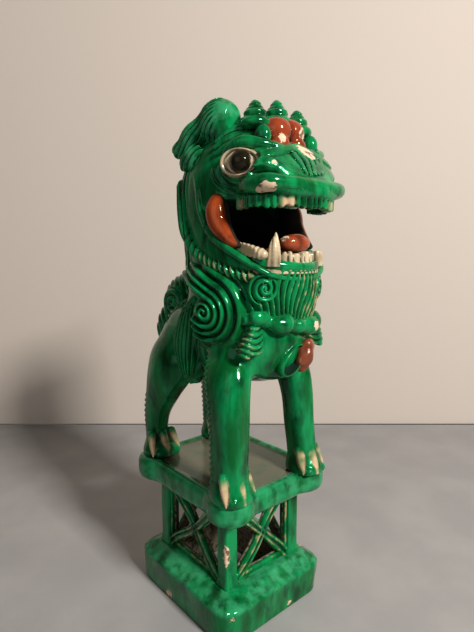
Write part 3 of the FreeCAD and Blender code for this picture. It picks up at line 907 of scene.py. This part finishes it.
def creases(p):
    """The folds of skin round the eye and behind the lip."""
    y, z = p[1] - EYE[1], p[2] - EYE[2]
    r = np.hypot(0.72 * y, z)
    under = soft_step(r, 8.5, 10) * soft_step(17.5 - r, 0, 2)
    under = under * soft_step(2 - z, 0, 5) * soft_step(y, -7, 0)
    folds = 0.55 * ridges(2 * np.pi * r / 3.3) * under
    s = np.hypot(p[1] + 57, p[2] - 258)
    curl = soft_step(s, 5.5, 7) * soft_step(13.5 - s, 0, 2) * soft_step(p[1] + 60, 0, 4)
    return (folds + 0.6 * ridges(2 * np.pi * s / 2.7) * curl * (p[2] < 270)) * (p[0] ** 2 > 300)


def mane_hair(p):
    """Combed hair down the back of the head and neck."""
    angle = np.arctan2(p[0], p[1] + 17)
    wave = 0.05 * np.sin(p[2] / 9)
    back = soft_step(p[1], -6, 1) * soft_step(294 - p[2], 0, 8)
    return 0.75 * ridges((angle + wave) * 2 * np.pi * 30 / 4.4) * back


def rim(p):
    return strand(folded(p), RIM, [1.4, 1.9, 2.1, 2.2, 2.2, 2.0, 1.7, 1.4, 1.3])[0]


def skull(p):
    d = head_form(p) - mane_hair(p) - creases(p)
    return smin(smax(d, -mouth(p), 2.0), rim(p), 0.9)


def jaw_room(p):
    """Negative where the lower jaw is a piece of its own."""
    return np.maximum(p[1] - JAW_Y, p[2] - PALATE_Z)


BRIDGE = [(-27, -57, 272), (-22.4, -60, 273.5), (-12.3, -60.5, 276.5), (0, -58.5, 279.3)]
WRINKLE = [(-30, -53, 264.5), (-29.2, -57, 266.8), (-26.5, -62, 267.7), (-22.5, -66, 267),
           (-17, -71, 263.5), (-9, -73.5, 261.5)]
FANS = [
    [(-7.5, -63, 274), (-6, -67, 270), (-6, -71, 264.5)],
    [(-2.5, -61.5, 276), (-1, -66, 271), (-3, -71, 264.5)],
    [(1.5, -60.7, 277), (4, -65, 272), (1, -70.5, 265)],
    [(6.5, -59.5, 278), (9, -64, 272), (4.5, -70, 265.5)],
    [(11, -58.8, 278), (14, -63, 273.5), (8, -69.5, 266)],
]
FURROW = [(-29.5, -56, 263.5), (-28, -60.5, 264.2), (-24.5, -65.5, 263.8), (-18.5, -69.5, 261.5),
          (-10, -71.5, 260), (0, -72, 259.8)]


def roll(p, d, points, girth, height):
    """How far a rolled fold along a line stands out of the surface d, with a crease each side."""
    gap = strand(p, points, [0.01] * len(points))[0]
    gap = np.sqrt(np.maximum(gap ** 2 - d ** 2, 0)) / girth
    crease = np.exp(-((gap - 1.05) / 0.22) ** 2)
    return height * (np.sqrt(np.maximum(1 - gap ** 2, 0)) - 0.4 * crease)


def muzzle(p):
    """The snout: thick folds from the eyes over the bridge, and a fan of folds in front."""
    d = loft_y(p, MUZZLE, 2.3, 3) - creases(p) + 0.25 * uneven(p, 7, 7.0)
    side = folded(p)
    bumps = np.maximum(roll(side, d, WRINKLE, 4.0, 2.8), roll(side, d, BRIDGE, 2.8, 2.0))
    for fan in FANS:
        bumps = np.maximum(bumps, roll(p, d, fan, 2.1, 1.9))
    bumps = bumps - np.maximum(roll(side, d, FURROW, 1.7, 2.4), 0)
    seat = egg(side, (EYE[0] - 4, EYE[1] - 3.2, EYE[2]), (11.5, 6.5, 7), yaw=-57)
    return smax(smax(d - bumps, -seat, 1.2), PALATE_Z - p[2], 2)


LIP = [(-27, -43, 256), (-28.6, -50, 257.6), (-28.6, -58, 258), (-27, -63.5, 258),
       (-22.5, -66.5, 257.9), (-16, -68, 257.8), (-8, -68.5, 257.8), (0, -68.5, 257.8)]


def lip_form(p):
    d = strand(folded(p), LIP, [2.6, 4.1, 4.5, 4.5, 4.4, 4.4, 4.3, 4.3])[0]
    return d + 0.45 * uneven(p, 6, 8.0)


def mouth_shade(p):
    """Painted shade: 1 on the surfaces inside the mouth and throat, which are painted near black."""
    inside = soft_step(29 - np.abs(p[0]), 0, 2) * soft_step(p[1] + 60, 0, 3)
    inside = inside * soft_step(-np.minimum(head_form(p), neck_form(p)), 1, 2.5)
    return inside * (p[2] > 205) * (p[2] < PALATE_Z + 3) * (p[1] < 16)


def teeth_ring(p, centre_y, a, b, pitch, power=2.6):
    """Distance to an oval wall, and rib phase round it."""
    y = p[1] - centre_y
    wall = oval(p[0], y, a, b, power)
    angle = np.arctan2(p[0] / a, -y / b)
    return wall, 2 * np.pi * angle * (a + b) / 2 / pitch


def jaw_field(p):
    return luted(smax(skull(p), jaw_room(p), 0.3), neck_form(p), 4)


def shell_field(p):
    return luted(smax(skull(p), -jaw_room(p), 0.3), neck_form(p), 6)


def upper_row(p):
    wall, phase = teeth_ring(p, -40, 30, 31.5, 4.1)
    rib = ridges(phase + 0.8 * np.sin(phase / 3))
    d = smax(wall - 0.45 * rib, -(wall + 4.5), 1)
    low = 246.6 + 0.5 * np.sin(phase / 5) - 0.5 * rib
    d = smax(d, np.maximum(low - p[2], p[2] - 253), 1.2)
    d = smax(d, p[1] + 42.5, 1)
    return luted(d, np.minimum(muzzle(p), lip_form(p)), 1)


def glaze_gone(p):
    """Where the glaze has run thin on the upper teeth."""
    front = np.exp(-((p[0] + 17.5) / 3.2) ** 4) + 0.6 * np.exp(-((p[0] - 15) / 3) ** 2)
    corner = 0.7 * np.exp(-((p[1] + 46) / 1.8) ** 2) * (p[0] < -20)
    return np.clip(front * (p[1] < -60) + corner, 0, 1) * soft_step(251.5 - p[2], 0, 1.5)


def lip_chip(p):
    return np.maximum(chip((p[0], p[1] * 0.7, p[2]), (-29.5, -64.5 * 0.7, 254), 4.3),
                      chip(p, (-27.5, -64, 252), 2.8))


def build_jaws():
    # painted shade: the inside of the mouth and throat is painted near black
    piece("head_shell", shell_field, margin=(4, 4, 5), paint={"deep": mouth_shade})
    piece("lower_jaw", jaw_field, margin=(4, 5, 5), paint={"deep": mouth_shade})
    gone = chips(((5, -62.5, 276.5), 4.2), ((0, -61, 278), 3.0), ((-24.5, -65, 268.5), 1.9))
    # milky glaze and painted light on the snout
    piece("upper_jaw", on(muzzle, head_form, 3), margin=(4, 5, 4),
          paint={"bare": gone, "milky_and_painted_light": 0.25})
    piece("upper_lip", on(lip_form, muzzle, 1.6), margin=(2, 5, 6), paint={"bare": lip_chip})
    piece("upper_teeth", upper_row, margin=3, paint={"cream": glaze_gone})


def build_mouth():
    lining = [(-30, -27, 251), (-30.2, -27, 246), (-30, -28.5, 240), (-30, -32.5, 235),
              (-29.8, -38, 230), (-28.8, -43.5, 227.5)]

    def lining_field(p):
        d = strand(p, lining, [4.8, 6.6, 6.4, 5.2, 3.6, 1.6])[0]
        return np.maximum(d, -(smin(smax(head_form(p), -mouth(p), 2.0), rim(p), 0.9) + 0.6))
    # painted shade: the half of each lining that faces into the mouth is painted near black
    piece("cheek_lining", lining_field, AMBER, margin=(6, 8, 8), pair=True,
          paint={"deep": lambda p: soft_step(31.0 + p[0], 0, 1.0)})

    def tongue_field(p):
        d = egg(p, (0.5, -56, 228.5), (10.6, 7, 5.3), pitch=-12)
        return smin(d, egg(p, (0, -44, 222), (10, 12, 5)), 3) + 0.2 * uneven(p, 4, 2.5)
    piece("tongue", tongue_field, LIVER, margin=(4, 6, 6),
          paint={"bare": chips(((-8, -57, 231.5), 2.4))})

    def lower_row(p):
        wall, phase = teeth_ring(p, -38.5, 22, 24.5, 4.2, 2.2)
        rib = ridges(phase + 0.8 * np.sin(phase / 2.3))
        d = smax(wall - 0.6 * rib, -(wall + 4), 1)
        top = 223.2 + 0.7 * rib + 0.6 * np.sin(phase / 3.1)
        d = smax(d, np.maximum(p[2] - top, 214.5 + 0.8 * np.sin(phase / 2) - p[2]), 1.2)
        d = smax(d, p[1] + 44, 1)
        side = [(-28.3, -40, 226.8), (-27.4, -49, 225), (-25, -58, 222.6)]
        row, along = strand(folded(p), side, [2.6, 3, 2.8])
        gum = oval(p[0], p[1] + 38.5, 27.0, 24.8, 2.4)
        gum = smax(smax(gum, p[1] + 40, 1), np.abs(p[2] - 215) - 2.8, 1)
        return smin(smin(d, row - 0.3 * ridges(2 * np.pi * along / 2.9), 0.8), gum, 1.0)
    piece("lower_teeth", lower_row, CREAM, margin=(7, 4, 7), voxel=VOXEL * 0.8)

    def fang_field(p):
        root, middle, tip = (-17, -57, 217), (-17, -58, 226), (-15.8, -58, 233.8)
        d = strand(p, [root, middle, tip], [4.2, 2.9, 0.4])[0]
        return d - 0.25 * ridges(np.arctan2(p[1] + 57, p[0] + 17) * 6)

    def stump(p):
        """The left fang, broken off short."""
        return smax(fang_field((-p[0], p[1], p[2])), p[2] - 225 - 0.6 * uneven(p, 2, 1.0), 1.8)

    for name, field in (("fang_right", fang_field), ("fang_left", stump)):
        piece(name, field, CREAM, margin=3, voxel=VOXEL * 0.7)


# ---- the face ----
def comb(p, direction, pitch, depth, bend=0.0):
    """Ridges that run along direction (y, z) on a side face."""
    length = math.hypot(*direction)
    dy, dz = direction[0] / length, direction[1] / length
    across = dy * p[2] - dz * p[1]
    along = dy * p[1] + dz * p[2]
    return depth * ridges(2 * np.pi * (across + bend * np.sin(along / 6)) / pitch)


LOCKS = [
    [(-32, -27, 277.2), (-30.2, -34.3, 281), (-26.2, -41.5, 283.2), (-19, -48.5, 283.5)],
    [(-31.6, -25, 281), (-29, -32.3, 285.2), (-24, -39.5, 287.4), (-16, -46.5, 287.5)],
    [(-30, -24, 284.5), (-26.3, -30.3, 289), (-20.8, -37.4, 291.4), (-12.8, -44.4, 291.5)],
    [(-27.2, -22, 287.8), (-22.4, -28, 292.4), (-16, -35, 294.8), (-8.5, -41, 294.6)],
]


def seated(points, lift):
    """The points moved square to the face until they lie lift above it."""
    at = np.array(points, float).T
    step = 0.2
    for _ in range(6):
        d = face(at)
        slope = np.array([face(at + move) - d for move in step * np.eye(3)[:, :, None]]) / step
        at = at - slope * (d - lift) / np.maximum((slope ** 2).sum(0), 0.25)
    return [tuple(spot) for spot in at.T]


def brow_form(p, locks):
    """Swept locks, the fold over the eye and the bulge beside the nose."""
    d = egg(p, (-18.5, -36, 280.5), (6.4, 11, 4.6), pitch=28)
    for lock in locks:
        d = smin(d, strand(p, lock, [1.2, 2.5, 2.5, 1.4])[0], 0.3)
    lid = strand(p, [(-31, -33, 271), (-31.5, -39, 277), (-29, -46.5, 279.6), (-23.5, -53, 278.6),
                     (-16, -57.5, 277.6)], [1.4, 2.6, 3.4, 3.0, 1.8])[0]
    return smin(smin(d, lid, 0.8), egg(p, (-18.5, -50.2, 283.5), (4.2, 4.8, 6.0)), 1.8)


def ear_pit(p):
    return egg(p, (-31.5, -18.5, 281.5), (5, 4.2, 7))


def ear_form(p):
    bulge = egg(p, (-22, -19.5, 296), (9.8, 14, 11.8))
    lobe = egg(p, (-27, -1, 289), (6.5, 12, 7.5), pitch=-38)
    tip = egg(p, (-29.3, 8, 284), (4.6, 4.6, 4.8))
    low = egg(p, (-29.5, -3, 277.5), (4.5, 10, 5.5), pitch=-25)
    d = smin(smin(smin(bulge, lobe, 5), tip, 2.5), low, 2.5)
    bent = p[1] + 0.035 * (p[2] - 290) ** 2 * (p[2] > 290)
    lines = comb((p[0], bent, p[2]), (0.72, -0.68), 3.1, 0.8, 0.3)
    return smax(d - lines * soft_step(p[1], -27, -20), -ear_pit(p), 1.5)


def eye_ring(p):
    u, w, n = facing(p, EYE, EYE_LOOKS)
    k = np.sqrt((u / 11.0) ** 2 + (w / (7.2 - 0.10 * u)) ** 2)
    plate = egg(p, EYE, (11.4, 5.5, 7.4), yaw=-57)
    ridge = 1.9 * np.exp(-((k - 0.92) / 0.12) ** 2)
    return np.maximum(plate - ridge + 0.8, n - 5.8 + 0.05 * u)


def eyeball_form(p):
    centre = (EYE[0] - 2.2, EYE[1] - 1.6, EYE[2])
    return egg(p, centre, (5.8, 5.1, 5.6), yaw=-57)


def pupil_rim(p):
    """The paler glaze round the pupil."""
    u, w, _ = facing(p, EYE, EYE_LOOKS)
    gap = np.maximum(np.abs(u - 1.2) / 4.2, np.abs(w - 0.2) / 4.6)
    return 0.16 * soft_step(gap, 0.95, 1.25)


def nose_form(p):
    side = folded((p[0] + 1.2, p[1], p[2]))
    lobe = egg(side, (-4.4, -47.4, 287.5), (9.4, 8.8, 8.4))
    d = smin(lobe, egg(side, (-6.5, -52.4, 281.8), (5.8, 4.6, 3.6)), 1.6)
    return d + 1.1 * np.exp(-(side[0] / 0.9) ** 2) + 0.4 * uneven(p, 4, 3.3)


def knob_form(x, y, z):
    def form(p):
        r, h = np.hypot(p[0] - x, p[1] - y), p[2] - z
        turn = np.arctan2(p[1] - y, p[0] - x)
        cone = smax((r - 5.3 + 0.38 * np.maximum(h, 0)) * 0.9, h - 8.4, 4.0)
        brim = egg((p[0] - x, p[1] - y, h), (0, 0, 0.6), (6.0, 6.0, 2.2))
        coil_line = ridges(2 * np.pi * h / 2.1 - turn) * soft_step(7.5 - h, 0, 2) * soft_step(h, 0, 1)
        mound = egg((p[0] - x, p[1] - y, h), (0, -0.5, -4.6), (8.6, 8.0, 4.4))
        return np.maximum(smin(smin(cone, brim, 2.4) - 0.16 * coil_line, mound, 0.8), -8 - h)
    return form


def crest_form(p):
    d = egg(p, (0, -36, 291.3), (22, 11, 8.0))
    angle = np.arctan2(p[0], p[1] + 60)
    return d - 0.45 * ridges(angle * 2 * np.pi * 24 / 4.0)


KNOBS = {"knob_right": (-16, -42, 296), "knob_middle": (-0.5, -42.5, 298.7),
         "knob_left": (16, -42.5, 296.5)}


def face(p):
    return smin(head_form(p), muzzle(p), 2)


def build_face():
    piece("crest", on(crest_form, face, 2), margin=3)
    for name, (x, y, z) in KNOBS.items():
        paint = {"bare": chips(((x, y, z + 9), 1.9))} if name != "knob_middle" else None
        piece(name, on(knob_form(x, y, z), crest_form, 1.2), margin=(5, 5, 8), paint=paint)
    gone = chips(((6.5, -56.5, 287.5), 3.4), ((11, -54, 288.5), 3.0), ((-9.5, -55.5, 283), 2.2))
    piece("nose", on(nose_form, face, 1.5), LIVER, margin=6, paint={"bare": gone})
    locks = [seated(lock, 0.7) for lock in LOCKS]
    piece("brow", lambda p: luted(brow_form(p, locks), face(p), 0.6), margin=(8, 9, 8), pair=True)
    # painted shade: the ear's pit is darkened towards near black
    dark = {"deep": lambda p: soft_step(1.5 - ear_pit(p), 0, 2) * 0.8}
    # milky glaze and painted light on the ears
    piece("ear", on(ear_form, face, 1.5), margin=(4, 5, 6), pair=True,
          paint=dark | {"worn": 0.2, "milky_and_painted_light": 0.8})
    piece("eye_socket", lambda p: np.maximum(luted(eye_ring(p), face(p), 1.0), -eyeball_form(p)),
          CREAM, margin=4, voxel=VOXEL * 0.75, pair=True)
    piece("eyeball", eyeball_form, BLACK, margin=2, voxel=VOXEL * 0.75,
          paint={"cream": pupil_rim}, pair=True)


# ---- trims ----
def mane_seat(p):
    """Body and head as one form, under the mane and beard."""
    return smin(body(p), head_form(p), 3)


def ruff_form(p):
    d, along = strand(p, RUFF, [4.4, 4.6, 4.2, 3.5, 3.2, 2.8])
    low = soft_step(along, 30, 38)
    notch = ridges(2 * np.pi * (along + 0.5 * p[2]) / 3.3)
    hair = ridges(2 * np.pi * (p[1] - 0.35 * (p[2] - 240)) / 2.9)
    return d - 0.75 * notch * low - 0.55 * hair * (1 - low)


def curl_form(p):
    u, w, n = facing(p, (-21, -54.5, 204.7), (-0.45, -0.9))
    phase, r = coil(u, w, 3.4)
    d = smax(r - 8.2, n - 2.4 + 0.02 * r * r, 2.0)
    d = np.maximum(d, -n - 9)
    return d - 0.85 * ridges(phase) * soft_step(r, 0.8, 1.6) * (n > -1)


def beard_form(p):
    d = loft_z(p, [(0, -40, 183, 24, 16), (0, -41.5, 196, 25.5, 18.5), (0, -42, 214, 22, 20.5)], 2.6, 1.5)
    spread = p[0] * (1 - 0.006 * (p[2] - 205)) + 1.5 * np.sin((p[2] - 184) / 5.5 + p[0] / 9)
    lock = ridges(2 * np.pi * spread / 3.5)
    d = d - 1.15 * lock
    return np.maximum(d, 185.5 + 0.9 * np.sin(p[0] * 1.1) - p[2])


def collar_form(p):
    d = strand(p, [(-27, -46, 188), (-14, -53, 186), (0, -55.5, 183.5), (14, -53.5, 182), (27, -45, 183)],
               [3.2, 3.6, 3.4, 3.6, 3.2])[0]
    lumps = [((-22, -51, 189.5), (6.4, 5.6, 5.4)), ((-8.5, -56, 185), (7.8, 6.2, 6.6)),
             ((3, -57, 182.5), (4.6, 4.4, 4.6)), ((13, -56, 182), (8, 6, 5.8)),
             ((25, -49, 183.5), (5.5, 6, 7))]
    for centre, radii in lumps:
        d = smin(d, egg(p, centre, radii), 2.4)
    return d + 0.6 * uneven(p, 3.5, 1.7)


def tassel_form(p):
    line = [(-22.5, -51, 186), (-24, -50.5, 179), (-25.5, -49, 171.5)]
    d = strand(p, line, [3.2, 5.0, 7.4])[0]
    flat = egg(p, (-25, -46, 174), (12, 7.5, 20))
    d = smax(smax(d, flat, 2), 169.5 + 0.25 * (p[0] + 25) - p[2], 1.2)
    return d - 0.55 * ridges(2 * np.pi * (p[2] - 0.05 * (p[0] + 25) ** 2) / 3.4) + 0.4 * uneven(p, 3, 2.9)


def rolled(p, centre, degrees):
    """Points from centre in axes that are rolled about Y."""
    x, y, z = (axis - c for axis, c in zip(p, centre))
    c, s = math.cos(math.radians(degrees)), math.sin(math.radians(degrees))
    return c * x + s * z, y, c * z - s * x


BELL = (0.5, -54.5, 163.5), 42       # the bell's middle, and its roll in degrees


def bell_form(p):
    x, y, z = rolled(p, *BELL)
    k = np.sqrt((x / 10.2) ** 2 + (z / 5.5) ** 2)
    d = egg((x, y, z), (0, 0, 0), (11.5, 5.0, 7.0)) - 0.9 * np.exp(-((k - 1.05) / 0.14) ** 2)
    return smax(d, -egg((x, y, z), (0, -3.5, 0), (9.9, 7.5, 5.3)), 0.7)


def slit_shade(p):
    """Painted shade: the bell's dark opening, painted near black."""
    x, _, z = rolled(p, *BELL)
    return soft_step(1.12 - np.sqrt((x / 9.9) ** 2 + (z / 5.2) ** 2), 0, 0.12)


def drop_form(p):
    x, y, z = rolled(p, (10.6, -56.5, 165.3), -24)
    return egg((x, y, z), (0, 0, 0), (5.6, 4.4, 10.4)) + 0.9 * uneven(p, 2.4, 4.1)


def build_trims():
    piece("mane_ruff", on(ruff_form, mane_seat, 1.2), margin=4, pair=True,
          paint={"worn": lambda p: 0.5 * soft_step(232 - p[2], 0, 12)})
    piece("mane_curl", on(curl_form, body, 2), margin=3, voxel=VOXEL * 0.85, pair=True)
    piece("beard", on(beard_form, mane_seat, 2), margin=(3, 3, 4),
          paint={"worn": lambda p: 0.25 + 0.4 * soft_step(p[0], -8, 6)})
    piece("collar", on(collar_form, body, 1.5), margin=(3, 4, 5),
          paint={"bare": chips(((15, -60.5, 182.5), 2.6))})
    piece("tassel", on(tassel_form, body, 1.2), margin=(5, 4, 5), pair=True, paint={"worn": 0.45})
    # painted shade in the bell's opening
    piece("bell", on(bell_form, trunk, 1.5), margin=7, paint={"deep": slit_shade})
    piece("bell_drop", drop_form, BROWN, margin=(10, 3, 4))


# ---- the stage ----
SENSOR_HEIGHT, FOCAL_LENGTH = 36.0, 27.05696203   # in mm
VIEWPOINT = (-196.365, -233.675, 222.057)
VIEW_DIRECTION = (0.65276, 0.74704, -0.12585)
WARM_LIGHT = (1.0, 0.97, 0.93)
TABLE_GREYS = (0.275, 0.265, 0.265), (0.315, 0.305, 0.30)
WALL_BEIGE = (0.47, 0.41, 0.36)


def build_stage():
    scene = bpy.context.scene
    scene.view_settings.view_transform = "Standard"
    camera = bpy.data.objects.new("camera", bpy.data.cameras.new("camera"))
    scene.collection.objects.link(camera)
    scene.camera = camera
    camera.data.sensor_fit = "VERTICAL"
    camera.data.sensor_height = SENSOR_HEIGHT
    camera.data.lens = FOCAL_LENGTH
    x, y, z = VIEWPOINT
    eye = Vector((x, y + PLINTH_Y, z)) * MM
    look = Vector(VIEW_DIRECTION)
    camera.location = eye
    camera.rotation_euler = look.to_track_quat("-Z", "Y").to_euler()

    world = bpy.data.worlds.new("room")
    scene.world = world
    world.use_nodes = True
    background = world.node_tree.nodes["Background"]
    background.inputs["Color"].default_value = (0.62, 0.58, 0.52, 1)
    background.inputs["Strength"].default_value = 0.12

    forward = Vector((look.x, look.y, 0)).normalized()
    sideways = Vector((forward.y, -forward.x, 0))
    middle = Vector((0, PLINTH_Y, 150)) * MM

    def area(name, direction, distance, size, power, colour):
        data = bpy.data.lights.new(name, "AREA")
        data.size, data.energy, data.color = size, power, colour
        lamp = bpy.data.objects.new(name, data)
        lamp.location = middle + direction.normalized() * distance
        lamp.rotation_euler = (-direction).to_track_quat("-Z", "Y").to_euler()
        scene.collection.objects.link(lamp)

    area("key", Vector((-0.01, -0.85, 0.56)), 1.3, 0.20, 28.0, (1.0, 0.97, 0.92))
    area("fill", Vector((-0.9, -0.25, 0.35)), 1.3, 0.9, 2.2, WARM_LIGHT)
    area("back", Vector((0.5, 0.7, 0.6)), 1.4, 0.8, 2.0, WARM_LIGHT)

    def flat(name, corners, colours, roughness, glow=0.0):
        mesh = bpy.data.meshes.new(name)
        mesh.from_pydata([tuple(c) for c in corners], [], [(0, 1, 2, 3)])
        obj = bpy.data.objects.new(name, mesh)
        scene.collection.objects.link(obj)
        r = Recipe(name)
        shade = r.mix(r.ramp(r.noise(60, 5), 0.35, 0.7), *colours)
        r.put(r.shader.inputs["Base Color"], shade)
        r.shader.inputs["Roughness"].default_value = roughness
        if glow:
            r.shader.inputs["Emission Color"].default_value = (*colours[0], 1)
            r.shader.inputs["Emission Strength"].default_value = glow
        mesh.materials.append(r.material)

    half, reach = 1.8, 0.606
    corners = [eye + forward * ahead + sideways * side
               for ahead, side in ((-1.0, -half), (-1.0, half), (reach, half), (reach, -half))]
    for corner in corners:
        corner.z = 0
    flat("table_top", corners, TABLE_GREYS, 0.55)
    lift, back = Vector((0, 0, 1.5)), forward * 0.004
    right, left = corners[2] + back, corners[3] + back
    flat("wall", [left, right, right + lift, left + lift], (WALL_BEIGE, WALL_BEIGE), 0.9, 0.08)


build_pedestal()
build_body()
build_legs()
build_jaws()
build_mouth()
build_face()
build_trims()
build_stage()
